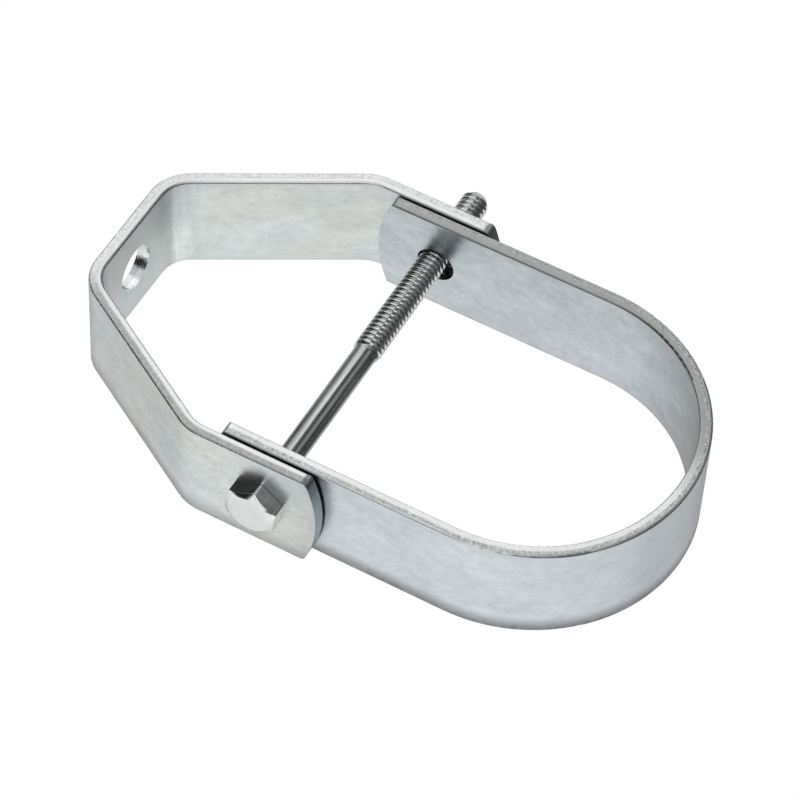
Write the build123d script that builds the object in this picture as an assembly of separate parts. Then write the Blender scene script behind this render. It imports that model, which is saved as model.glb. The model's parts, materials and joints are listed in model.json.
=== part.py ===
from build123d import *
import math
import os

# Clevis pipe hanger, millimetres.
# Frame: the way it hangs. +Z runs up the threaded rod, X along the cross bolt with the head at -X,
# Y along the pipe. The origin is the centre of the rod hole on the crown's upper face.

# ---- strap stock, the same flat bar for both straps ----
strap_width = 25.4
strap_thickness = 2.9
strap_edge_radius = 0.55
end_rise = 2.7

# ---- lower strap: the cradle that carries the pipe ----
cradle_radius = 33.3
cradle_drop = 96.7
arm_overhang = 13.7
arm_corner_radius = 1.0

# ---- upper strap: crown, shoulders and ears ----
arm_gap = 0.6
crown_half_width = 16.6
shoulder_drop = 38.7
ear_overhang = 14.3
ear_corner_radius = 2.0
crown_bend_radius = 7.2
shoulder_bend_radius = 8.0
rod_hole_diameter = 11.1

# ---- cross bolt, 1/4 in, and its nut ----
bolt_drop = 55.6
thread_diameter = 6.2
thread_pitch = 1.27
tip_chamfer_pitches = 1.2
tip_face_share = 0.65
shank_diameter = 5.2
bolt_length = 93.8
thread_length = 48.0
hex_across_flats = 11.11
head_height = 3.8
head_turn = 37.1
stem_root = 0.5
nut_height = 5.56
nut_countersink = 0.35
hex_chamfer_angle = 30.0
hex_face_share = 0.94

# ---- fits ----
bolt_hole_clearance = 1.25
hang_clearance = 0.35
bearing_clearance = 0.05
thread_clearance = 0.05

# ---- sizes that follow from the ones above ----
arm_outer = cradle_radius + strap_thickness
ear_inner = arm_outer + arm_gap
ear_outer = ear_inner + strap_thickness
bolt_hole_radius = thread_diameter / 2 + bolt_hole_clearance
hole_offset = bolt_hole_clearance - hang_clearance
yoke_hole_z = -bolt_drop + hole_offset
cradle_hole_z = -bolt_drop - hole_offset
ear_tip_z = yoke_hole_z - ear_overhang
arm_tip_z = cradle_hole_z + arm_overhang
head_seat_x = -ear_outer - bearing_clearance
nut_seat_x = ear_outer + bearing_clearance
tip_chamfer = tip_chamfer_pitches * thread_pitch
hex_corner_radius = hex_across_flats / math.sqrt(3)
hex_face_radius = hex_face_share * hex_across_flats / 2
hex_chamfer_drop = (hex_corner_radius - hex_face_radius) * math.tan(math.radians(hex_chamfer_angle))


def bent_strap(centre_line):
    """Flat bar with rolled edges, swept along the line that its mid-thickness follows."""
    start = centre_line @ 0
    along = centre_line % 0
    section = Plane(origin=start, x_dir=(0, 1, 0), z_dir=along) * RectangleRounded(
        strap_width, strap_thickness, strap_edge_radius
    )
    return sweep(section, path=centre_line)


def strap_end(tip_z, outwards, corner_radius):
    """Solid across both legs of a strap that ends in a shallow arc at tip_z, pointing up or down.

    outwards is +1 where the strap's ends point up and -1 where they point down.
    """
    half = strap_width / 2
    shoulder_z = tip_z - outwards * end_rise
    far_z = tip_z - outwards * (cradle_drop + cradle_radius + bolt_drop)
    with BuildSketch(Plane.YZ) as outline:
        with BuildLine():
            Line((-half, far_z), (-half, shoulder_z))
            ThreePointArc((-half, shoulder_z), (0, tip_z), (half, shoulder_z))
            Line((half, shoulder_z), (half, far_z))
            Line((half, far_z), (-half, far_z))
        make_face()
        corners = [v for v in outline.vertices() if abs(v.Y - shoulder_z) < end_rise / 10]
        fillet(corners, corner_radius)
    return extrude(outline.sketch, amount=ear_outer + strap_thickness, both=True)


def bolt_holes(hole_z):
    """Round cutter along X through both legs of a strap."""
    return Pos(0, 0, hole_z) * Rot(0, 90, 0) * Cylinder(bolt_hole_radius, 2 * ear_outer + 2 * strap_thickness)


def upper_yoke():
    """Crown, two sloped shoulders and two ears, bent from one strap."""
    half = strap_thickness / 2
    ear_x = ear_inner + half
    slope = math.atan2(ear_outer - crown_half_width, shoulder_drop)
    crown_turn = math.pi / 2 - slope
    shoulder_z = -shoulder_drop - half * math.tan(slope / 2)
    crown_x = crown_half_width - half * math.tan(crown_turn / 2)
    low_z = ear_tip_z - strap_thickness
    corners = [
        (-ear_x, 0, low_z),
        (-ear_x, 0, shoulder_z),
        (-crown_x, 0, -half),
        (crown_x, 0, -half),
        (ear_x, 0, shoulder_z),
        (ear_x, 0, low_z),
    ]
    bends = [shoulder_bend_radius, crown_bend_radius, crown_bend_radius, shoulder_bend_radius]
    line = bent_line(corners, [radius + half for radius in bends])
    yoke = bent_strap(line) & strap_end(ear_tip_z, -1, ear_corner_radius)
    yoke -= bolt_holes(yoke_hole_z)
    rod_hole = Pos(0, 0, -half) * Cylinder(rod_hole_diameter / 2, 2 * strap_thickness)
    return yoke - rod_hole


def bent_line(corners, radii):
    """Line through the corners, with an arc of the given radius at each inner corner."""
    edges = []
    start = Vector(*corners[0])
    for before, corner, after, radius in zip(corners, corners[1:], corners[2:], radii):
        apex = Vector(*corner)
        arriving = (apex - Vector(*before)).normalized()
        leaving = (Vector(*after) - apex).normalized()
        turn = math.radians(arriving.get_angle(leaving))
        reach = radius * math.tan(turn / 2)
        bend_start = apex - arriving * reach
        bend_end = apex + leaving * reach
        edges.append(Edge.make_line(start, bend_start))
        edges.append(Edge.make_tangent_arc(bend_start, arriving, bend_end))
        start = bend_end
    edges.append(Edge.make_line(start, Vector(*corners[-1])))
    return Wire(edges)


def cradle_strap():
    """Lower strap: a half-round cradle with two straight arms, bent from one strap."""
    mid_radius = cradle_radius + strap_thickness / 2
    top_z = arm_tip_z + strap_thickness
    left = Edge.make_line((-mid_radius, 0, top_z), (-mid_radius, 0, -cradle_drop))
    right = Edge.make_line((mid_radius, 0, -cradle_drop), (mid_radius, 0, top_z))
    bowl = Edge.make_three_point_arc(
        (-mid_radius, 0, -cradle_drop), (0, 0, -cradle_drop - mid_radius), (mid_radius, 0, -cradle_drop)
    )
    cradle = bent_strap(Wire([left, bowl, right])) & strap_end(arm_tip_z, 1, arm_corner_radius)
    return cradle - bolt_holes(cradle_hole_z)


def hex_blank(height, chamfered_ends):
    """Hexagon bar along +Z from 0, its corners turned off by a cone at the top, or at both ends."""
    base = RegularPolygon(hex_across_flats / 2, 6, major_radius=False)
    blank = extrude(base, amount=height)
    drop = hex_chamfer_drop
    foot = [(0, 0), (hex_corner_radius, 0)]
    if chamfered_ends == 2:
        foot = [(0, 0), (hex_face_radius, 0), (hex_corner_radius, drop)]
    outline = foot + [(hex_corner_radius, height - drop), (hex_face_radius, height), (0, height)]
    turned = revolve(Plane.XZ * make_face(Polyline(*outline, close=True)), Axis.Z)
    return blank & turned


def cross_bolt():
    """Hexagon-headed bolt along X: plain shank under the head, rolled thread to the tip."""
    head = Pos(0, 0, -head_height) * Rot(180, 0, 0) * Pos(0, 0, -head_height) * hex_blank(head_height, 1)
    head = Rot(0, 0, head_turn) * head
    shank = shank_diameter / 2
    crest = thread_diameter / 2
    thread_start = bolt_length - thread_length
    outline = [
        (0, -stem_root),
        (shank, -stem_root),
        (shank, thread_start - thread_pitch),
        (crest, thread_start),
        (crest, bolt_length - tip_chamfer),
        (tip_face_share * crest, bolt_length),
        (0, bolt_length),
    ]
    stem = revolve(Plane.XZ * make_face(Polyline(*outline, close=True)), Axis.Z)
    return Pos(head_seat_x, 0, -bolt_drop) * Rot(0, 90, 0) * (head + stem)


def hex_nut():
    """Hexagon nut at the far ear, both ends chamfered, its bore running on the thread's crests."""
    bore = thread_diameter / 2 + thread_clearance
    mouth = bore + nut_countersink
    cutter = [
        (0, 0),
        (mouth, 0),
        (bore, nut_countersink),
        (bore, nut_height - nut_countersink),
        (mouth, nut_height),
        (0, nut_height),
    ]
    hole = revolve(Plane.XZ * make_face(Polyline(*cutter, close=True)), Axis.Z)
    nut = hex_blank(nut_height, 2) - hole
    return Pos(nut_seat_x, 0, -bolt_drop) * Rot(0, 90, 0) * nut


pieces = {
    "upper_yoke": upper_yoke,
    "cradle_strap": cradle_strap,
    "cross_bolt": cross_bolt,
    "hex_nut": hex_nut,
}

os.makedirs("parts", exist_ok=True)
for node, build in pieces.items():
    export_step(build(), f"parts/{node}.step")
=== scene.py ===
"""Clevis pipe hanger: zinc finishes, threaded bolt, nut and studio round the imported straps."""

import json
import logging
import math
from dataclasses import dataclass
from enum import Enum

import bpy
import numpy as np
from mathutils import Matrix, Vector


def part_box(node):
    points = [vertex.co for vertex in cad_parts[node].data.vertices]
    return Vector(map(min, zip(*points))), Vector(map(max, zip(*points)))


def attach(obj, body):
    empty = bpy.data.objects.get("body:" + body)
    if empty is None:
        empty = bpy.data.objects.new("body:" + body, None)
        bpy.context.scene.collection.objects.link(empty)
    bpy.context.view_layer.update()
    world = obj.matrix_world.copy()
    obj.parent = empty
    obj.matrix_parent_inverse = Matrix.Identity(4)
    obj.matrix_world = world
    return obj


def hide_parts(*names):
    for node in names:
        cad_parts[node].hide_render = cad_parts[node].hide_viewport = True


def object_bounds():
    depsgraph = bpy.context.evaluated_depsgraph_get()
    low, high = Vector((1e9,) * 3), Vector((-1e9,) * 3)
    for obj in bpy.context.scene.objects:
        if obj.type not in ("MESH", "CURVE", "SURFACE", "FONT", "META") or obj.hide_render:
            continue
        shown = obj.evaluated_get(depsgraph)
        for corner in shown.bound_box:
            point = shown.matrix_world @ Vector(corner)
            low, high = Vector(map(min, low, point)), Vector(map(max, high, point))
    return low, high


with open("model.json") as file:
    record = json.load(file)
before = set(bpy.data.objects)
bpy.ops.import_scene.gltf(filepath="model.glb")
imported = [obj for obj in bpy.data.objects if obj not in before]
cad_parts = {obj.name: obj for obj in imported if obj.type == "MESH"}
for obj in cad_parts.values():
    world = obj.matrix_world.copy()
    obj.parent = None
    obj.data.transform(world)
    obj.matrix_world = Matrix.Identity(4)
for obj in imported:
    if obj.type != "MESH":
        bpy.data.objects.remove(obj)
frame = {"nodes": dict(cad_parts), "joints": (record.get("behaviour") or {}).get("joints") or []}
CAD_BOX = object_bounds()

LOG = logging.getLogger("hanger")
MM = 0.001
SHARP_FROM = math.radians(38)
# Marks: the smallest one and the fading rim, as shares of the radius, and the edge of the draw.
SMALLEST_SPECK = 0.3
SPECK_FADE = (0.6, 1.0)
SPECK_DRAW = 0.01
# A place along X, in millimetres, that lies beyond every piece.
NOWHERE = 1000.0
# Width of a panel's soft side in degrees, for each unit of its width in X.
DEGREES_OF_SOFTNESS = 90.0

Colour = tuple[float, float, float, float]
Triple = tuple[float, float, float]
Pair = tuple[float, float]


# ---------------------------------------------------------------- node trees


@dataclass(frozen=True)
class Val:
    """A number socket that takes the usual signs of arithmetic; each sign adds one Math node."""

    maker: "NodeMaker"
    socket: bpy.types.NodeSocket

    def _math(self, operation: str, *values: "Val | float") -> "Val":
        """One Math node on the given values, in their order."""
        inputs = dict(enumerate(values))
        made = self.maker.node("ShaderNodeMath", {"operation": operation}, inputs)
        return Val(self.maker, made.outputs[0])

    def __add__(self, other: "Val | float") -> "Val":
        """Sum."""
        return self._math("ADD", self, other)

    __radd__ = __add__

    def __sub__(self, other: "Val | float") -> "Val":
        """Difference."""
        return self._math("SUBTRACT", self, other)

    def __rsub__(self, other: float) -> "Val":
        """Difference from a plain number."""
        return self._math("SUBTRACT", other, self)

    def __mul__(self, other: "Val | float") -> "Val":
        """Product."""
        return self._math("MULTIPLY", self, other)

    __rmul__ = __mul__

    def __truediv__(self, other: "Val | float") -> "Val":
        """Quotient."""
        return self._math("DIVIDE", self, other)

    def __abs__(self) -> "Val":
        """Size without its sign."""
        return self._math("ABSOLUTE", self)

    def larger(self, other: "Val | float", blend: float = 0.0) -> "Val":
        """The larger of two values, rounded over where they are nearer than blend."""
        if blend > 0.0:
            return self._math("SMOOTH_MAX", self, other, blend)
        return self._math("MAXIMUM", self, other)

    def smaller(self, other: "Val | float") -> "Val":
        """The smaller of two values."""
        return self._math("MINIMUM", self, other)

    def power(self, exponent: float) -> "Val":
        """This value to a power."""
        return self._math("POWER", self, exponent)

    def root(self) -> "Val":
        """Square root."""
        return self._math("SQRT", self)

    def angle_from(self, other: "Val") -> "Val":
        """Angle whose sine side is this value and whose cosine side is the other."""
        return self._math("ARCTAN2", self, other)

    def step(self, low: float, high: float) -> "Val":
        """0 below low, 1 above high and a smooth rise between; high may be below low."""
        settings = {"interpolation_type": "SMOOTHSTEP", "clamp": True}
        start, end = (low, high) if low < high else (high, low)
        inputs = {"Value": self, "From Min": start, "From Max": end}
        made = self.maker.node("ShaderNodeMapRange", settings, inputs)
        risen = Val(self.maker, made.outputs["Result"])
        return risen if low < high else 1.0 - risen


def between(factor: Val, first: "Val | float", second: "Val | float") -> Val:
    """A number between two, at a factor from 0 to 1."""
    return first + factor * (second - first)


@dataclass(frozen=True)
class Amount:
    """A strength with an even part and a part that follows a noise."""

    even: float
    noisy: float

    def at(self, noise: Val) -> Val:
        """The strength where the noise has the given value."""
        return self.even + noise * self.noisy


@dataclass(frozen=True)
class Grain:
    """Cloudy noise on object coordinates, and how strongly it shows.

    size is its grain in millimetres along X, Y and Z. It changes a colour by the share tone, the
    roughness by rough and the surface by relief, in millimetres.
    """

    size: Triple
    detail: float = 2.0
    roughness: float = 0.5
    offset: float = 0.0
    tone: float = 0.0
    rough: float = 0.0
    relief: float = 0.0


@dataclass(frozen=True)
class Marks:
    """Small round marks strewn at random, and how strongly they show.

    cell is the mean distance in millimetres between places where a mark may be, radius a mark's
    largest radius, share how many of those places have one and cover how far a mark's colour
    hides the metal. rough and relief are as in Grain.
    """

    cell: float
    radius: float
    share: float
    cover: float
    colour: Colour
    rough: float = 0.0
    relief: float = 0.0


class NodeMaker:
    """Makes every node of one tree and links it up."""

    def __init__(self, tree: bpy.types.NodeTree) -> None:
        """Empties the tree and keeps it."""
        tree.nodes.clear()
        self.tree = tree

    def node(
        self, kind: str, settings: dict | None = None, inputs: dict | None = None
    ) -> bpy.types.Node:
        """Adds one node.

        Args:
            kind: Blender's name for the node's type.
            settings: the node's own properties, set first.
            inputs: values, sockets or Vals by the name or number of the input.

        Returns:
            The node.
        """
        made = self.tree.nodes.new(kind)
        for key, value in (settings or {}).items():
            setattr(made, key, value)
        for key, value in (inputs or {}).items():
            source = value.socket if isinstance(value, Val) else value
            if isinstance(source, bpy.types.NodeSocket):
                self.tree.links.new(source, made.inputs[key])
            else:
                made.inputs[key].default_value = source
        return made

    def place(self, kind: str = "Object") -> tuple[bpy.types.NodeSocket, Val, Val, Val]:
        """Where the shaded point is.

        Args:
            kind: "Object" for the piece's own metres turned into millimetres, or "Generated" for
                the direction that a world is seen in.

        Returns:
            The vector's socket, and its X, Y and Z.
        """
        source = self.node("ShaderNodeTexCoord").outputs[kind]
        if kind == "Object":
            source = self.scaled(source, (1 / MM, 1 / MM, 1 / MM))
        parts = self.node("ShaderNodeSeparateXYZ", inputs={0: source})
        return source, *(Val(self, parts.outputs[k]) for k in range(3))

    def scaled(self, vector: bpy.types.NodeSocket, by: Triple) -> bpy.types.NodeSocket:
        """A vector times a number for each of its parts."""
        made = self.node("ShaderNodeVectorMath", {"operation": "MULTIPLY"}, {0: vector, 1: by})
        return made.outputs[0]

    def along(self, vector: bpy.types.NodeSocket, way: Triple) -> Val:
        """How far a vector runs in a direction: their dot product."""
        made = self.node("ShaderNodeVectorMath", {"operation": "DOT_PRODUCT"}, {0: vector, 1: way})
        return Val(self, made.outputs["Value"])

    def noise(self, vector: bpy.types.NodeSocket, look: Grain) -> Val:
        """Cloudy noise about 0, mostly between -0.5 and 0.5."""
        shrunk = self.scaled(vector, tuple(1 / size for size in look.size))
        shift = {0: shrunk, 1: (look.offset,) * 3}
        moved = self.node("ShaderNodeVectorMath", {"operation": "ADD"}, shift).outputs[0]
        inputs = {"Vector": moved, "Scale": 1.0, "Detail": look.detail, "Roughness": look.roughness}
        made = self.node("ShaderNodeTexNoise", {"noise_dimensions": "3D"}, inputs)
        return Val(self, made.outputs[0]) - 0.5

    def specks(self, vector: bpy.types.NodeSocket, look: Marks) -> Val:
        """1 inside the marks and 0 elsewhere, from a vector in millimetres.

        Each cell draws whether it has a mark, and the mark's radius between the smallest and the
        largest.
        """
        shrunk = self.scaled(vector, (1 / look.cell, 1 / look.cell, 1 / look.cell))
        inputs = {"Vector": shrunk, "Scale": 1.0}
        cells = self.node("ShaderNodeTexVoronoi", {"feature": "F1"}, inputs)
        draws = self.node("ShaderNodeSeparateColor", inputs={0: cells.outputs["Color"]})
        absent = 1 - look.share
        present = Val(self, draws.outputs[0]).step(absent, absent + SPECK_DRAW)
        drawn = Amount(SMALLEST_SPECK, 1 - SMALLEST_SPECK).at(Val(self, draws.outputs[1]))
        size = drawn * (look.radius / look.cell)
        distance = Val(self, cells.outputs["Distance"])
        return (1 - (distance / size).step(*SPECK_FADE)) * present

    def blend(self, factor: "Val | float", first: object, second: object) -> bpy.types.NodeSocket:
        """A colour between two, at a factor from 0 to 1."""
        settings = {"data_type": "RGBA", "clamp_factor": True}
        return self.node("ShaderNodeMix", settings, {0: factor, 6: first, 7: second}).outputs[2]

    def shaded(self, colour: object, by: Val) -> bpy.types.NodeSocket:
        """A colour times a number."""
        grey = self.node("ShaderNodeCombineXYZ", inputs={0: by, 1: by, 2: by}).outputs[0]
        settings = {"data_type": "RGBA", "blend_type": "MULTIPLY"}
        return self.node("ShaderNodeMix", settings, {0: 1.0, 6: colour, 7: grey}).outputs[2]

    def marked(self, colour: object, marks: Val, look: Marks) -> bpy.types.NodeSocket:
        """A colour with marks over it."""
        return self.blend(marks * look.cover, colour, look.colour)

    def end_in_metal(self, colour: bpy.types.NodeSocket, rough: Val, height: Val) -> None:
        """Ends a material's tree in bare metal, with a relief given in millimetres."""
        relief = {"Strength": 1.0, "Distance": MM, "Height": height}
        bump = self.node("ShaderNodeBump", inputs=relief)
        surface = {
            "Base Color": colour,
            "Metallic": 1.0,
            "Roughness": rough,
            "Normal": bump.outputs[0],
        }
        shader = self.node("ShaderNodeBsdfPrincipled", inputs=surface)
        self.node("ShaderNodeOutputMaterial", inputs={"Surface": shader.outputs[0]})


def new_material(name: str) -> tuple[bpy.types.Material, NodeMaker]:
    """A material with an empty node tree, and the maker for its nodes."""
    material = bpy.data.materials.new(name)
    material.use_nodes = True
    return material, NodeMaker(material.node_tree)


# ---------------------------------------------------------------- finishes


class Strap(Enum):
    """The two straps, which differ in where their mid-thickness runs."""

    YOKE = "upper_yoke"
    CRADLE = "cradle_strap"


class Along(Enum):
    """The axis that a shade sets in along."""

    X = "x"
    Z = "z"


@dataclass(frozen=True)
class Shade:
    """A painted shade along an axis: none at start and depth, as a share, from full on."""

    along: Along
    start: float
    full: float
    depth: float

    def at(self, x: Val, z: Val) -> Val:
        """The share that is taken off at a place."""
        place = x if self.along is Along.X else z
        return place.step(self.start, self.full) * self.depth


@dataclass(frozen=True)
class StrapShape:
    """Sizes of the bent straps in millimetres, for finding a point's place in the thickness.

    A skin is how deep under a cut face its look ends and how deep it is still whole. bend_rise,
    bend_fall and bend_height bound the bends between crown and shoulders, out from the middle
    and up.
    """

    thickness: float = 2.9
    half_width: float = 12.7
    cradle_outer: float = 36.2
    cradle_centre: float = -96.7
    ear_outer: float = 39.7
    crown_half: float = 16.6
    shoulder_drop: float = 38.7
    crown_round: float = 7.9
    shoulder_round: float = 2.3
    rod_hole: float = 5.55
    bolt_hole: float = 4.35
    ear_hole: float = -54.7
    cradle_hole: float = -56.5
    ear_tip: float = -69.0
    arm_tip: float = -42.8
    end_radius: float = 31.22
    cut_skin: Pair = (0.12, 0.05)
    bore_skin: Pair = (0.12, 0.02)
    rod_hole_fade: float = 1.0
    bend_rise: Pair = (8.5, 14.0)
    bend_fall: Pair = (20.0, 16.0)
    bend_height: Pair = (-15.0, -8.0)

    def depth(self, strap: Strap, x: Val, z: Val) -> Val:
        """Distance in from the strap's outer face as a share of its thickness, 0 to 1.

        On the cradle it is the outer radius less the distance from the bowl's centre line, where
        only points below that centre count their height. On the yoke it is the smallest distance
        in from the planes of ear, shoulder and crown, rounded over at the bends.
        """
        if strap is Strap.CRADLE:
            below = (z - self.cradle_centre).smaller(0.0)
            radius = (x * x + below * below).root()
            return (self.cradle_outer - radius) / self.thickness
        run = self.ear_outer - self.crown_half
        slant = math.hypot(run, self.shoulder_drop)
        ear = abs(x) - self.ear_outer
        shoulder = (abs(x) - self.crown_half) * (self.shoulder_drop / slant) + z * (run / slant)
        outside = shoulder.larger(ear, self.shoulder_round).larger(z, self.crown_round)
        return outside * (-1 / self.thickness)

    def cut_end(self, strap: Strap, y: Val, z: Val) -> Val:
        """1 on the sheared faces at the strap's two arc-shaped ends and 0 elsewhere.

        The arc has fallen from its tip by its radius less the root of the radius squared less
        the square of the distance from the middle.
        """
        fall = self.end_radius - (self.end_radius**2 - y * y).root()
        if strap is Strap.CRADLE:
            return (self.arm_tip - fall - z).step(*self.cut_skin)
        return (z - self.ear_tip - fall).step(*self.cut_skin)

    def crown_bend(self, x: Val, z: Val) -> Val:
        """1 about the bends between crown and shoulders, fading out a few millimetres away."""
        out = abs(x).step(*self.bend_rise) * abs(x).step(*self.bend_fall)
        return out * z.step(*self.bend_height)

    def wall(self, first: Val, second: Val, radius: float) -> Val:
        """1 up to a hair outside the radius from a hole's centre line, and 0 beyond.

        The distance is the root of the sum of the squares of the two places across the hole.
        """
        far, near = (radius + skin for skin in self.bore_skin)
        return (first * first + second * second).root().step(far, near)

    def bored(self, strap: Strap, x: Val, y: Val, z: Val) -> Val:
        """1 on the walls of the strap's drilled holes and 0 elsewhere."""
        hole_z = self.cradle_hole if strap is Strap.CRADLE else self.ear_hole
        bored = self.wall(y, z - hole_z, self.bolt_hole)
        if strap is Strap.YOKE:
            crown = z.step(-self.thickness - self.rod_hole_fade, -self.thickness)
            bored = bored + self.wall(x, y, self.rod_hole) * crown
        return bored


@dataclass(frozen=True)
class StrapPatterns:
    """What varies over one strap: places, noises about 0, and masks from 0 to 1."""

    vector: bpy.types.NodeSocket
    x: Val
    y: Val
    z: Val
    clouds: Val
    patches: Val
    mottle: Val
    spangle: Val
    torn: Val
    dashes: Val
    pits: Val
    smudges: Val
    nicks: Val
    inside: Val
    edge: Val
    sheared: Val
    bored: Val
    cut: Val


@dataclass(frozen=True)
class StrapZinc:
    """Bright zinc plate on hot-rolled strap: cloudy faces, rolled edges and a sheared edge band.

    band_middle and band place the sheared band across the thickness, from -1 at the outer face to
    1 at the inner one: its middle, and how far from there it starts to end and has ended. Names
    with _from are distances in millimetres in from the strap's side, where a look sets in and
    where it is whole. The foot is the outer faces' margin at +Y, darkened by a painted shade.
    Painted shade also darkens the inner faces, and the shades darken parts along X and Z. The
    crown's inner face lies over crown_height, and a painted reflection raises its tone with Y by
    crown_reflection_slope, past crown_level of the width.
    """

    strap: Strap
    tint: Colour
    cool: Colour
    band_middle: float
    band: Pair
    band_colour: Colour
    tearing: float
    inside_painted_shade: float
    foot_painted_shade: Amount
    inner_shade: Shade
    outer_shades: tuple[Shade, ...]
    rim_shade: Shade
    band_shade: Shade
    shape: StrapShape = StrapShape()
    clouds: Grain = Grain((8.0, 5.0, 9.0), 3.0, 0.55, tone=0.38, rough=0.12, relief=0.060)
    patches: Grain = Grain((26.0, 14.0, 26.0), 1.0, 0.5, 7.3)
    mottle: Grain = Grain((2.6, 1.8, 2.6), 3.0, 0.6, 3.1, tone=0.42, rough=0.14, relief=0.016)
    spangle: Grain = Grain((0.9, 0.6, 0.9), 2.0, 0.6, 1.7, tone=0.22, relief=0.004)
    streaks: Grain = Grain((1.1, 14.0, 1.1), 2.0, 0.6, 6.0)
    wander: Grain = Grain((5.0, 5.0, 5.0), 2.0, 0.6, 5.0)
    torn: Grain = Grain((0.9, 1.4, 0.9), 3.0, 0.75, 9.0, relief=0.14)
    dashes: Grain = Grain((0.55, 3.0, 0.55), 2.0, 0.7, 2.0, relief=0.08)
    pits: Marks = Marks(7.0, 0.30, 0.22, 0.7, (0.10, 0.10, 0.10, 1.0), rough=0.3, relief=-0.06)
    smudges: Marks = Marks(11.0, 1.1, 0.25, 0.25, (0.22, 0.24, 0.23, 1.0))
    nicks: Marks = Marks(3.4, 0.34, 0.22, 0.85, (0.05, 0.06, 0.06, 1.0), relief=-0.12)
    smudge_break: Amount = Amount(0.4, 4.0)
    middle: Pair = (0.45, 0.55)
    edge_from: Pair = (0.42, 0.16)
    band_wander: float = 0.3
    tint_share: Amount = Amount(0.5, 1.8)
    tint_fade: Pair = (0.1, 0.9)
    inside_painted_reflection: float = 0.08
    border_from: Pair = (1.6, 0.5)
    border_dull: Amount = Amount(0.04, 0.25)
    foot_from: Pair = (5.2, 0.4)
    foot_outside: float = 0.9
    bend_dull: Amount = Amount(0.05, 0.45)
    crown_height: Pair = (-7.0, -4.0)
    crown_level: float = 0.2
    crown_reflection_slope: float = 0.34
    rim_colour: Colour = (0.80, 0.82, 0.81, 1.0)
    rim_tone: Amount = Amount(1.0, 0.35)
    cut_colour: Colour = (0.36, 0.395, 0.425, 1.0)
    cut_tone: Amount = Amount(1.0, 0.7)
    roughness: float = 0.30
    edge_rough: float = 0.08
    bore_rough: Amount = Amount(0.12, 0.10)
    bore_torn: float = 0.05
    bore_mottle: float = 0.10

    def from_side(self, y: Val, margins: Pair) -> Val:
        """0 further in from the strap's side at +Y than the first margin, and 1 past the second."""
        half = self.shape.half_width
        return y.step(half - margins[0], half - margins[1])

    def patterns(self, maker: NodeMaker) -> StrapPatterns:
        """Makes the strap's places, noises and masks."""
        vector, x, y, z = maker.place()
        depth = self.shape.depth(self.strap, x, z)
        mottle = maker.noise(vector, self.mottle)
        edge = self.from_side(abs(y), self.edge_from)
        off_middle = depth * 2 - 1 - self.band_middle
        wander = maker.noise(vector, self.wander) * self.band_wander
        smudged = self.smudge_break.at(mottle).step(0.0, 1.0)
        return StrapPatterns(
            vector=vector,
            x=x,
            y=y,
            z=z,
            clouds=maker.noise(vector, self.clouds),
            patches=maker.noise(vector, self.patches),
            mottle=mottle,
            spangle=maker.noise(vector, self.spangle),
            torn=maker.noise(vector, self.torn),
            dashes=maker.noise(vector, self.dashes),
            pits=maker.specks(vector, self.pits),
            smudges=maker.specks(vector, self.smudges) * smudged,
            nicks=edge * maker.specks(vector, self.nicks),
            inside=depth.step(*self.middle),
            edge=edge,
            sheared=edge * (1 - abs(off_middle + wander).step(*self.band)),
            bored=self.shape.bored(self.strap, x, y, z),
            cut=self.shape.cut_end(self.strap, y, z),
        )

    def face_tone(self, maker: NodeMaker, seen: StrapPatterns) -> Val:
        """How light the broad faces are: noise about 1, less the darker border and bends and the
        painted shade, with a painted reflection on the inner faces.
        """
        half = self.shape.half_width
        reach = seen.y.step(-half, half)
        noises = seen.clouds * self.clouds.tone + seen.mottle * self.mottle.tone
        noises = noises + seen.spangle * self.spangle.tone
        # Painted shade darkens the inner faces, and a painted reflection of the table lightens them
        # towards +Y.
        tone = 1 + noises - seen.inside * (self.inside_painted_shade - reach * self.inside_painted_reflection)
        border = self.from_side(abs(seen.y), self.border_from) * self.border_dull.at(seen.mottle)
        # Painted shade: the outer faces darken near their +Y side, like a reflected contact shadow.
        foot = self.from_side(seen.y, self.foot_from) * self.foot_painted_shade.at(seen.mottle)
        tone = tone * (1 - border) * (1 - foot * (1 - seen.inside * self.foot_outside))
        # Painted shade along Z: on the inner faces, and on the yoke's outer faces by the shoulders
        # and the ear.
        tone = tone * (1 - seen.inside * self.inner_shade.at(seen.x, seen.z))
        for shade in self.outer_shades:
            tone = tone * (1 - (1 - seen.inside) * shade.at(seen.x, seen.z))
        if self.strap is Strap.YOKE:
            bend = self.shape.crown_bend(seen.x, seen.z) * seen.inside
            # Painted reflection: the crown's inner face lightens towards +Y.
            crown = seen.inside * seen.z.step(*self.crown_height)
            streaks = maker.noise(seen.vector, self.streaks)
            tone = tone * (1 - bend * self.bend_dull.at(streaks))
            tone = tone * (1 + crown * (reach - self.crown_level) * self.crown_reflection_slope)
        return tone

    def colour(self, maker: NodeMaker, seen: StrapPatterns) -> bpy.types.NodeSocket:
        """Colour of faces, rims, sheared band, cut ends and marks, each laid over those before."""
        tinted = self.tint_share.at(seen.patches).step(*self.tint_fade)
        face = maker.blend(tinted, self.tint, self.cool)
        face = maker.shaded(face, self.face_tone(maker, seen))
        # Painted shade: the rims and the sheared band darken along X or Z.
        lit = 1 - self.rim_shade.at(seen.x, seen.z)
        rim = maker.shaded(self.rim_colour, lit * self.rim_tone.at(seen.torn))
        lit = 1 - self.band_shade.at(seen.x, seen.z)
        tearing = 1 + (seen.torn + seen.dashes) * self.tearing
        colour = maker.blend(seen.edge - seen.sheared, face, rim)
        colour = maker.blend(seen.sheared, colour, maker.shaded(self.band_colour, lit * tearing))
        cut = maker.shaded(self.cut_colour, self.cut_tone.at(seen.torn))
        colour = maker.blend(seen.cut, colour, cut)
        colour = maker.marked(colour, seen.smudges, self.smudges)
        colour = maker.marked(colour, seen.pits, self.pits)
        return maker.marked(colour, seen.nicks, self.nicks)

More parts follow.
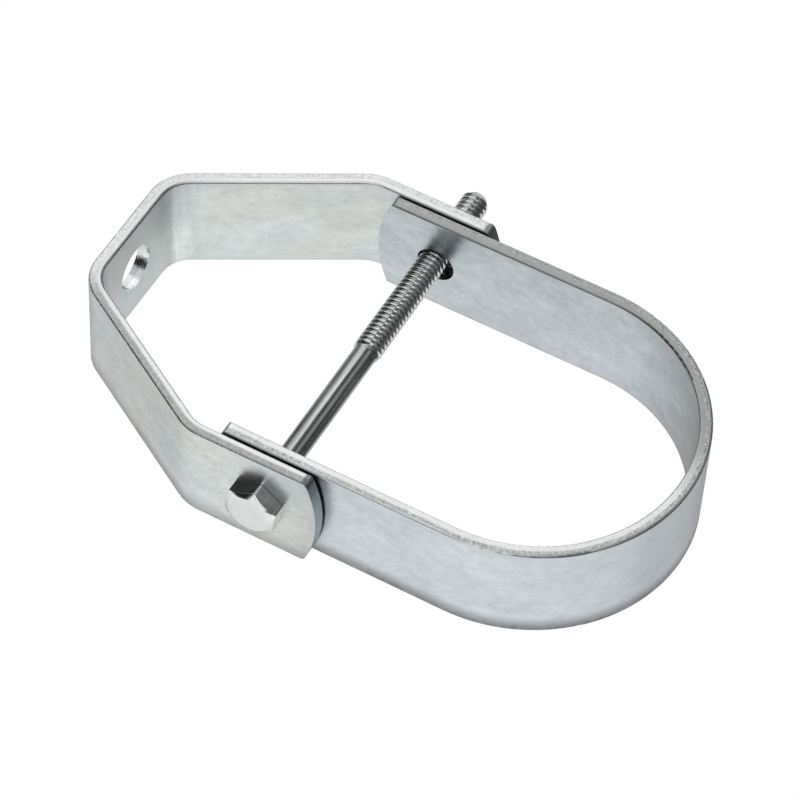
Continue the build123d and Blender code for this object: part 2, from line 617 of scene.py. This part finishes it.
    def rough(self, seen: StrapPatterns) -> Val:
        """Roughness: duller on the edges and in the pits, glossy in the drilled holes."""
        noises = seen.clouds * self.clouds.rough + seen.mottle * self.mottle.rough
        rough = self.roughness + noises + seen.edge * self.edge_rough + seen.pits * self.pits.rough
        return between(seen.bored, rough, self.bore_rough.at(seen.mottle))

    def height(self, seen: StrapPatterns) -> Val:
        """Relief in millimetres."""
        return (
            seen.clouds * self.clouds.relief
            + seen.mottle * self.mottle.relief
            + seen.spangle * self.spangle.relief
            + seen.sheared * (seen.torn * self.torn.relief + seen.dashes * self.dashes.relief)
            + seen.bored * (seen.torn * self.bore_torn + seen.mottle * self.bore_mottle)
            + seen.pits * self.pits.relief
            + seen.nicks * self.nicks.relief
        )

    def material(self) -> bpy.types.Material:
        """The finished material."""
        material, maker = new_material(f"zinc_{self.strap.value}")
        seen = self.patterns(maker)
        maker.end_in_metal(self.colour(maker, seen), self.rough(seen), self.height(seen))
        return material


@dataclass(frozen=True)
class FastenerZinc:
    """Bright zinc plate on a cold-formed bolt or nut: glossy, with drawing lines along it.

    Places along X are in millimetres. Beyond wall_from the drawing lines show, from shank_from
    to shank_to the plate is rougher and darker by a painted shade, and beyond shank_to it is
    darker by thread_dull. The fades are the lengths over which wall, shank's start and shank's
    end set in.
    """

    name: str
    roughness: float = 0.13
    wall_from: float = NOWHERE
    shank_from: float = NOWHERE
    shank_to: float = NOWHERE
    wall_fade: float = 0.4
    shank_fades: Pair = (0.8, 1.2)
    colour: Colour = (0.69, 0.71, 0.70, 1.0)
    wall_tone: float = 0.9
    shank_shade_and_lines: Amount = Amount(0.64, 1.1)
    shank_rough: float = 0.07
    thread_dull: float = 0.17
    drawn: Grain = Grain((14.0, 0.45, 0.45), 2.0, 0.6, 4.0, relief=0.004)
    clouds: Grain = Grain((2.5, 2.0, 2.0), 3.0, 0.6, 8.0, tone=0.20, rough=0.10, relief=0.005)
    fine: Grain = Grain((0.35, 0.3, 0.3), 2.0, 0.6, tone=0.08, rough=0.05, relief=0.0008)
    specks: Marks = Marks(2.6, 0.16, 0.20, 0.6, (0.12, 0.12, 0.12, 1.0), rough=0.2, relief=-0.01)

    def material(self) -> bpy.types.Material:
        """The finished material."""
        material, maker = new_material(self.name)
        vector, x, _y, _z = maker.place()
        drawn = maker.noise(vector, self.drawn)
        clouds = maker.noise(vector, self.clouds)
        fine = maker.noise(vector, self.fine)
        specks = maker.specks(vector, self.specks)
        rise, fall = self.shank_fades
        threaded = x.step(self.shank_to - fall, self.shank_to)
        shank = x.step(self.shank_from, self.shank_from + rise) * (1 - threaded)
        wall = x.step(self.wall_from, self.wall_from + self.wall_fade)

        # On the shank the tone's even part is a painted shade, and its noisy part follows the drawing
        # lines.
        tone = between(shank, 1 + wall * drawn * self.wall_tone, self.shank_shade_and_lines.at(drawn))
        tone = tone * (1 - threaded * self.thread_dull)
        tone = tone * (1 + clouds * self.clouds.tone + fine * self.fine.tone)
        colour = maker.marked(maker.shaded(self.colour, tone), specks, self.specks)
        rough = self.roughness + shank * self.shank_rough + clouds * self.clouds.rough
        rough = rough + fine * self.fine.rough + specks * self.specks.rough
        height = drawn * (1 + shank) * self.drawn.relief + clouds * self.clouds.relief
        height = height + fine * self.fine.relief + specks * self.specks.relief
        maker.end_in_metal(colour, rough, height)
        return material


# ---------------------------------------------------------------- surfaces


def smooth_rise(value: np.ndarray) -> np.ndarray:
    """0 below 0, 1 above 1, and three times the square less twice the cube between."""
    held = np.clip(value, 0.0, 1.0)
    return held * held * (3 - 2 * held)


def turned_piece(name: str, profile: np.ndarray, axis: Vector, closed: bool) -> bpy.types.Object:
    """Mesh of a profile carried round a line that runs along X.

    Args:
        name: the piece's name.
        profile: rows by steps round by two: place along X and radius. A row's place and radius
            may differ from step to step, so that a hexagon or a thread is turned too.
        axis: a point of the line.
        closed: True where the last row meets the first, as in a nut, and False where the first
            and the last row are closed by a point on the line.

    Returns:
        The piece, its faces outwards where the profile runs from the low end out, along +X and in.
    """
    rows, steps, _ = profile.shape
    turn = 2 * np.pi * np.arange(steps) / steps
    points = np.stack(
        [
            profile[..., 0],
            axis.y + profile[..., 1] * np.cos(turn),
            axis.z + profile[..., 1] * np.sin(turn),
        ],
        axis=-1,
    ).reshape(-1, 3)
    index = np.arange(rows * steps).reshape(rows, steps)
    after = np.roll(index, -1, axis=1)
    if closed:
        low, high = index, np.roll(index, -1, axis=0)
        low_after, high_after = after, np.roll(after, -1, axis=0)
    else:
        low, high, low_after, high_after = index[:-1], index[1:], after[:-1], after[1:]
    faces = np.stack([low, low_after, high_after, high], axis=-1).reshape(-1, 4).tolist()
    if not closed:
        poles = np.array([[profile[row, :, 0].mean(), axis.y, axis.z] for row in (0, -1)])
        first, last = len(points), len(points) + 1
        points = np.vstack([points, poles])
        faces += np.stack([np.full(steps, first), after[0], index[0]], axis=-1).tolist()
        faces += np.stack([np.full(steps, last), index[-1], after[-1]], axis=-1).tolist()
    mesh = bpy.data.meshes.new(name)
    mesh.from_pydata(points.tolist(), [], faces)
    mesh.validate()
    mesh.shade_smooth()
    mesh.set_sharp_from_angle(angle=SHARP_FROM)
    piece = bpy.data.objects.new(name, mesh)
    bpy.context.scene.collection.objects.link(piece)
    return piece


def softened(corners: np.ndarray, reach: np.ndarray, steps: int = 4) -> np.ndarray:
    """A profile with its corners rounded over.

    Each corner P gives way to the quadratic curve from A to B, the points that lie reach before
    and after it: (1 - t)^2 A + 2 t (1 - t) P + t^2 B.

    Args:
        corners: rows by steps round by two.
        reach: one length for each inner corner.
        steps: points on each curve.

    Returns:
        The longer profile.
    """
    share = np.linspace(0.0, 1.0, steps)[:, None, None]
    rows = [corners[:1]]
    for before, corner, after, length in zip(corners, corners[1:], corners[2:], reach):
        back, on = before - corner, after - corner
        start = corner + back * np.minimum(1, length / np.linalg.norm(back, axis=-1, keepdims=True))
        end = corner + on * np.minimum(1, length / np.linalg.norm(on, axis=-1, keepdims=True))
        rows.append((1 - share) ** 2 * start + 2 * share * (1 - share) * corner + share**2 * end)
    rows.append(corners[-1:])
    return np.concatenate(rows)


def turned_rows(places: np.ndarray, radius: np.ndarray) -> np.ndarray:
    """Rows of a profile from their places along X and a radius for each row and step round."""
    return np.stack([np.broadcast_to(places[:, None], radius.shape), radius], axis=-1)


@dataclass(frozen=True)
class Hexagon:
    """A hexagon bar along X with softly rounded corners and coned ends."""

    across_flats: float
    turn: float
    face_share: float = 0.94
    chamfer: float = math.radians(30)
    sharpness: float = 60.0
    steps: int = 144

    def radius(self) -> np.ndarray:
        """Distance from the line to the wall at each step round.

        It is the flat's distance over the norm, at the power given by sharpness, of the cosines
        of the angles to the six flats, which is a hexagon with slightly rounded corners.
        """
        angle = 2 * np.pi * np.arange(self.steps) / self.steps
        flats = self.turn + np.pi / 3 * np.arange(6)
        cosines = np.maximum(np.cos(angle[:, None] - flats), 0.0)
        return self.across_flats / 2 / (cosines**self.sharpness).sum(1) ** (1 / self.sharpness)

    def face(self) -> float:
        """Radius of the round flat at a coned end."""
        return self.face_share * self.across_flats / 2

    def drop(self) -> np.ndarray:
        """How far the cone has fallen where it meets the wall, at each step round."""
        return (self.radius() - self.face()) * math.tan(self.chamfer)

    def ring(self, x: float | np.ndarray, radius: float | np.ndarray) -> np.ndarray:
        """One row of a profile: its place along X and its radius, the same or not all round."""
        row = np.empty((self.steps, 2))
        row[:, 0] = x
        row[:, 1] = radius
        return row


@dataclass(frozen=True)
class Thread:
    """A right-hand rolled thread about a line along X, with rows_per_pitch rows of points."""

    crest: float
    root: float
    pitch: float = 1.27 * MM
    rounding: float = 2.8
    rows_per_pitch: int = 16

    def places(self, start: float, end: float) -> np.ndarray:
        """Places along X from one end of a threaded stretch to the other."""
        count = int(abs(end - start) / self.pitch * self.rows_per_pitch)
        return np.linspace(start, end, count)

    def height(self, x: np.ndarray, steps: int) -> np.ndarray:
        """Height over the root as a share of the full one, for each place along X and step round.

        The phase is X over the pitch less the turn. The height is one less a power of the
        distance from the phase's middle, so that crests are round and roots come to a V.
        """
        turn = np.arange(steps) / steps
        phase = np.mod(x[:, None] / self.pitch - turn, 1.0)
        return 1 - np.abs(2 * phase - 1) ** self.rounding


# ---------------------------------------------------------------- the hanger's pieces


@dataclass
class BentStraps:
    """The yoke and the cradle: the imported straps, dressed in their zinc."""

    yoke: StrapZinc = StrapZinc(
        Strap.YOKE,
        tint=(0.650, 0.680, 0.640, 1.0),
        cool=(0.625, 0.670, 0.685, 1.0),
        band_middle=-0.45,
        band=(0.35, 0.75),
        band_colour=(0.76, 0.79, 0.77, 1.0),
        tearing=0.8,
        inside_painted_shade=0.07,
        foot_painted_shade=Amount(0.40, 0.60),
        # Painted shades on the yoke's inner face towards the shoulders, and on its outer face at the
        # shoulders and the ear.
        inner_shade=Shade(Along.Z, -18.0, -38.0, 0.06),
        outer_shades=(Shade(Along.Z, -44.0, -34.0, 0.05), Shade(Along.Z, -57.0, -69.0, 0.16)),
        # Painted shade on the rims towards the crown's top, and on the sheared band of the left
        # branch.
        rim_shade=Shade(Along.Z, -16.0, -6.0, 0.10),
        band_shade=Shade(Along.X, -12.0, -20.0, 0.42),
    )
    cradle: StrapZinc = StrapZinc(
        Strap.CRADLE,
        tint=(0.590, 0.625, 0.670, 1.0),
        cool=(0.605, 0.660, 0.685, 1.0),
        band_middle=-0.38,
        band=(0.15, 0.45),
        band_colour=(0.54, 0.57, 0.56, 1.0),
        tearing=1.4,
        inside_painted_shade=0.20,
        foot_painted_shade=Amount(0.62, 0.60),
        # Painted shade on the cradle's inner face towards the bottom of the bowl.
        inner_shade=Shade(Along.Z, -98.0, -126.0, 0.20),
        outer_shades=(),
        # Painted shade on the rims and the sheared band towards +X.
        rim_shade=Shade(Along.X, -8.0, 14.0, 0.54),
        band_shade=Shade(Along.X, -8.0, 14.0, 0.28),
    )

    def dress(self) -> list[str]:
        """Puts each strap's finish in its material slot and returns the straps' names."""
        finishes = (self.yoke, self.cradle)
        for finish in finishes:
            node = frame["nodes"][finish.strap.value]
            node.material_slots[0].material = finish.material()
        return [finish.strap.value for finish in finishes]


@dataclass
class CrossBolt:
    """The hexagon-headed cross bolt: plain shank under the head and a rolled thread to the tip.

    The head is turned as in the solid: a flat stands 30 degrees before a corner, which is at
    37.1 degrees from -Z, and -Z lies a quarter turn before +Y, where the steps round begin.
    """

    axis: Vector
    low_x: float
    high_x: float
    head_height: float = 3.8 * MM
    shank: float = 2.6 * MM
    shank_rows: int = 24
    thread: Thread = Thread(crest=3.1 * MM, root=2.48 * MM)
    thread_length: float = 48.0 * MM
    run_out: float = 1.6
    under_head: float = 0.35 * MM
    tip_chamfer: float = 1.2
    tip_face_share: float = 0.65
    head: Hexagon = Hexagon(11.11 * MM, math.radians(37.1 - 30.0 - 90.0), face_share=0.83)
    rounding: tuple[float, ...] = (0.10 * MM, 0.12 * MM, 0.10 * MM, 0.20 * MM)
    zinc: FastenerZinc = FastenerZinc(
        "zinc_bolt", wall_from=-43.3, shank_from=-39.6, shank_to=5.6
    )

    def profile(self) -> np.ndarray:
        """The bolt from the middle of the head's face to the middle of its tip.

        The thread's radius rises from the shank's to crest and root over the run-out, and at the
        tip it is held under a cone.
        """
        hexagon, thread = self.head, self.thread
        seat = self.low_x + self.head_height
        wall, drop = hexagon.radius(), hexagon.drop()
        corners = np.stack(
            [
                hexagon.ring(self.low_x, hexagon.face() / 2),
                hexagon.ring(self.low_x, hexagon.face()),
                hexagon.ring(self.low_x + drop, wall),
                hexagon.ring(seat, wall),
                hexagon.ring(seat, self.shank + self.under_head),
                hexagon.ring(seat + self.under_head, self.shank),
            ]
        )
        head = softened(corners, np.array(self.rounding))
        run_out = self.run_out * thread.pitch
        start = self.high_x - self.thread_length - run_out
        plain = np.linspace(seat + self.under_head, start, self.shank_rows)[1:-1]
        shank = np.stack([hexagon.ring(x, self.shank) for x in plain])
        places = thread.places(start, self.high_x)
        reached = smooth_rise((places - start) / run_out)[:, None]
        height = thread.height(places - self.high_x, hexagon.steps)
        crest = self.shank + (thread.crest - self.shank) * reached
        root = self.shank + (thread.root - self.shank) * reached
        fall = (1 - self.tip_face_share) * thread.crest / (self.tip_chamfer * thread.pitch)
        cone = self.tip_face_share * thread.crest + (self.high_x - places) * fall
        radius = np.minimum(root + (crest - root) * height, cone[:, None])
        tip = hexagon.ring(self.high_x, radius[-1].min() / 2)
        return np.concatenate([head, shank, turned_rows(places, radius), tip[None]])

    def build(self) -> bpy.types.Object:
        """The bolt's mesh in its place, riding on the bolt's body in place of its solid."""
        piece = turned_piece("threaded_cross_bolt", self.profile(), self.axis, False)
        piece.data.materials.append(self.zinc.material())
        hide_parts("cross_bolt")
        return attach(piece, "bolt")


@dataclass
class ThreadedNut:
    """The hexagon nut on the far end of the bolt, threaded to match it."""

    axis: Vector
    low_x: float
    high_x: float
    bolt_tip: float
    thread: Thread = Thread(crest=3.15 * MM, root=2.47 * MM)
    countersink: float = 0.35 * MM
    form: Hexagon = Hexagon(11.11 * MM, 0.0)
    rounding: tuple[float, ...] = (0.10 * MM, 0.12 * MM, 0.12 * MM, 0.10 * MM)
    zinc: FastenerZinc = FastenerZinc("zinc_nut", roughness=0.22)

    def profile(self) -> np.ndarray:
        """Closed profile: outer wall along +X, far face in, bore back and near face out.

        The bore has the bolt's thread, a running clearance larger, and opens to a cone at each end.
        """
        hexagon, thread = self.form, self.thread
        wall, drop, mouth = hexagon.radius(), hexagon.drop(), thread.crest + self.countersink
        corners = np.stack(
            [
                hexagon.ring(self.low_x, (hexagon.face() + mouth) / 2),
                hexagon.ring(self.low_x, hexagon.face()),
                hexagon.ring(self.low_x + drop, wall),
                hexagon.ring(self.high_x - drop, wall),
                hexagon.ring(self.high_x, hexagon.face()),
                hexagon.ring(self.high_x, (hexagon.face() + mouth) / 2),
            ]
        )
        outer = softened(corners, np.array(self.rounding))
        places = thread.places(self.high_x, self.low_x)
        height = thread.height(places - self.bolt_tip, hexagon.steps)
        inner = thread.root + (thread.crest - thread.root) * height
        from_end = np.minimum(places - self.low_x, self.high_x - places)
        inner = np.maximum(inner, (mouth - from_end)[:, None])
        return np.concatenate([outer, turned_rows(places, inner)])

    def build(self) -> bpy.types.Object:
        """The nut's mesh in its place, riding on the nut's body in place of its solid."""
        piece = turned_piece("threaded_nut", self.profile(), self.axis, True)
        piece.data.materials.append(self.zinc.material())
        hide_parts("hex_nut")
        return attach(piece, "nut")


# ---------------------------------------------------------------- studio


@dataclass(frozen=True)
class Panel:
    """A stretch of the surroundings of one brightness, with soft sides.

    It is a window in the direction's X, and in its angle about X from -Y towards +Z in degrees.
    soft is the width of its sides in X; in the angle they are DEGREES_OF_SOFTNESS times as wide.
    """

    x_from: float
    x_to: float
    angle_from: float
    angle_to: float
    level: float
    soft: float

    def cover(self, x: Val, angle: Val) -> Val:
        """1 inside the panel and 0 outside."""
        blur = self.soft * DEGREES_OF_SOFTNESS
        across = x.step(self.x_from - self.soft, self.x_from)
        across = across * x.step(self.x_to + self.soft, self.x_to)
        along = angle.step(self.angle_from - blur, self.angle_from)
        return across * along * angle.step(self.angle_to + blur, self.angle_to)


@dataclass(frozen=True)
class Surroundings:
    """What glossy surfaces see: a pale table behind the part, a dim belt and a light ceiling.

    Directions are told by Y, which runs from the ceiling at -1 to the table at +1, and by how
    near they are to a glance at the table, where it is dimmest. Panels lie over that.
    """

    glance: Triple = (0.555, 0.786, 0.272)
    table: float = 1.146
    table_fade: float = 0.40
    glance_fade: float = 0.40
    glance_power: float = 6.0
    ceiling: float = 0.75
    belt: float = 0.12
    belt_from: Pair = (-0.75, -0.60)
    belt_to: Pair = (-0.10, 0.12)
    panels: tuple[Panel, ...] = (
        Panel(-0.90, 0.16, -125, -12, 0.10, 0.03),
        Panel(-0.93, 0.0, -34, -8, 1.1, 0.05),
        Panel(-0.80, -0.25, -78, -38, 0.34, 0.06),
        Panel(0.14, 0.98, -136, 2, 0.11, 0.06),
        Panel(0.30, 0.85, -50, -30, 0.44, 0.08),
        Panel(0.14, 0.98, 58, 96, 0.32, 0.10),
        Panel(-0.91, -0.20, 40, 105, 0.005, 0.05),
        Panel(-1.1, -0.965, -180, 180, 1.05, 0.02),
        Panel(0.14, 0.98, 11, 46, 1.22, 0.14),
    )

    def glow(self, maker: NodeMaker) -> Val:
        """Strength of the surroundings in the direction looked at."""
        vector, x, y, z = maker.place("Generated")
        near = maker.along(vector, self.glance).larger(0.0)
        dimmed = near * self.table_fade + near.power(self.glance_power) * self.glance_fade
        ceiling = between(y.step(*self.belt_from), self.ceiling, self.belt)
        glow = between(y.step(*self.belt_to), ceiling, self.table - dimmed)
        angle = z.angle_from(0.0 - y) * (180 / math.pi)
        for panel in self.panels:
            glow = between(panel.cover(x, angle), glow, panel.level)
        return glow


@dataclass
class Studio:
    """Surroundings, a pale floor, one soft lamp and the camera."""

    surroundings: Surroundings = Surroundings()
    ambient: float = 0.9
    floor_z: float = -0.36
    floor_half: float = 2.5
    floor_colour: Colour = (0.88, 0.88, 0.88, 1.0)
    floor_roughness: float = 0.8
    lamp_way: Triple = (0.555, -0.706, 0.441)
    lamp_distance: float = 1.2
    lamp_size: float = 1.05
    lamp_power: float = 3.1
    eye: Triple = (-0.4619, -0.6509, -0.2929)
    forward: Triple = (0.55504, 0.78610, 0.27199)
    up: Triple = (0.67634, -0.61684, 0.40259)
    lens: float = 181.4
    sensor: float = 36.0
    clip: Pair = (0.01, 20.0)

    def build_world(self) -> None:
        """White to the camera, evenly lit to matt surfaces, light and dim in parts to glossy ones."""
        world = bpy.data.worlds.new("studio")
        bpy.context.scene.world = world
        world.use_nodes = True
        maker = NodeMaker(world.node_tree)
        glow = self.surroundings.glow(maker)
        path = maker.node("ShaderNodeLightPath")
        seen = Val(maker, path.outputs["Is Camera Ray"])
        shiny = Val(maker, path.outputs["Is Glossy Ray"])
        strength = seen + (1 - seen) * (shiny * glow + (1 - shiny) * self.ambient)
        light = {"Color": (1.0, 1.0, 1.0, 1.0), "Strength": strength}
        back = maker.node("ShaderNodeBackground", inputs=light)
        maker.node("ShaderNodeOutputWorld", inputs={"Surface": back.outputs[0]})

    def build_floor(self) -> None:
        """A pale level floor under the hanging part."""
        half, z = self.floor_half, self.floor_z
        mesh = bpy.data.meshes.new("floor")
        corners = [(-half, -half, z), (half, -half, z), (half, half, z), (-half, half, z)]
        mesh.from_pydata(corners, [], [(0, 1, 2, 3)])
        floor = bpy.data.objects.new("floor", mesh)
        bpy.context.scene.collection.objects.link(floor)
        material, maker = new_material("pale_floor")
        surface = {"Base Color": self.floor_colour, "Roughness": self.floor_roughness}
        shader = maker.node("ShaderNodeBsdfPrincipled", inputs=surface)
        maker.node("ShaderNodeOutputMaterial", inputs={"Surface": shader.outputs[0]})
        mesh.materials.append(material)
        floor.visible_glossy = False

    def build_lamp(self) -> None:
        """A square soft lamp that looks at the middle of the part."""
        low, high = CAD_BOX
        lamp = bpy.data.lights.new("key", "AREA")
        lamp.size = self.lamp_size
        lamp.energy = self.lamp_power
        holder = bpy.data.objects.new("key", lamp)
        bpy.context.scene.collection.objects.link(holder)
        towards = Vector(self.lamp_way).normalized()
        holder.location = (low + high) / 2 + towards * self.lamp_distance
        holder.rotation_mode = "QUATERNION"
        holder.rotation_quaternion = towards.to_track_quat("Z", "Y")
        holder.visible_glossy = False

    def build_camera(self) -> None:
        """The camera, seen from below the crown with the pipe's direction upright."""
        ahead, up = Vector(self.forward).normalized(), Vector(self.up).normalized()
        right = ahead.cross(up).normalized()
        up = right.cross(ahead)
        data = bpy.data.cameras.new("camera")
        data.lens = self.lens
        data.sensor_width = self.sensor
        data.clip_start, data.clip_end = self.clip
        camera = bpy.data.objects.new("camera", data)
        bpy.context.scene.collection.objects.link(camera)
        turn = Matrix((right, up, -ahead)).transposed().to_4x4()
        camera.matrix_world = Matrix.Translation(Vector(self.eye)) @ turn
        bpy.context.scene.camera = camera

    def build(self) -> None:
        """Sets the colour handling and makes camera, surroundings, floor and lamp."""
        bpy.context.scene.view_settings.view_transform = "Standard"
        self.build_camera()
        self.build_world()
        self.build_floor()
        self.build_lamp()


def main() -> None:
    """Builds the studio and the hanger's pieces in order, and reports each piece."""
    logging.basicConfig(level=logging.INFO, format="%(name)s: %(message)s")
    Studio().build()
    swing = next(joint for joint in frame["joints"] if joint["name"] == "cradle_swing")
    axis = Vector(swing["pos_m"])
    for strap in BentStraps().dress():
        LOG.info("dressed %s", strap)
    bolt_low, bolt_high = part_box("cross_bolt")
    nut_low, nut_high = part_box("hex_nut")
    bolt = CrossBolt(axis, bolt_low.x, bolt_high.x)
    nut = ThreadedNut(axis, nut_low.x, nut_high.x, bolt_high.x)
    for piece in (bolt.build(), nut.build()):
        LOG.info("built %s with %d faces", piece.name, len(piece.data.polygons))


if __name__ == "__main__":
    main()
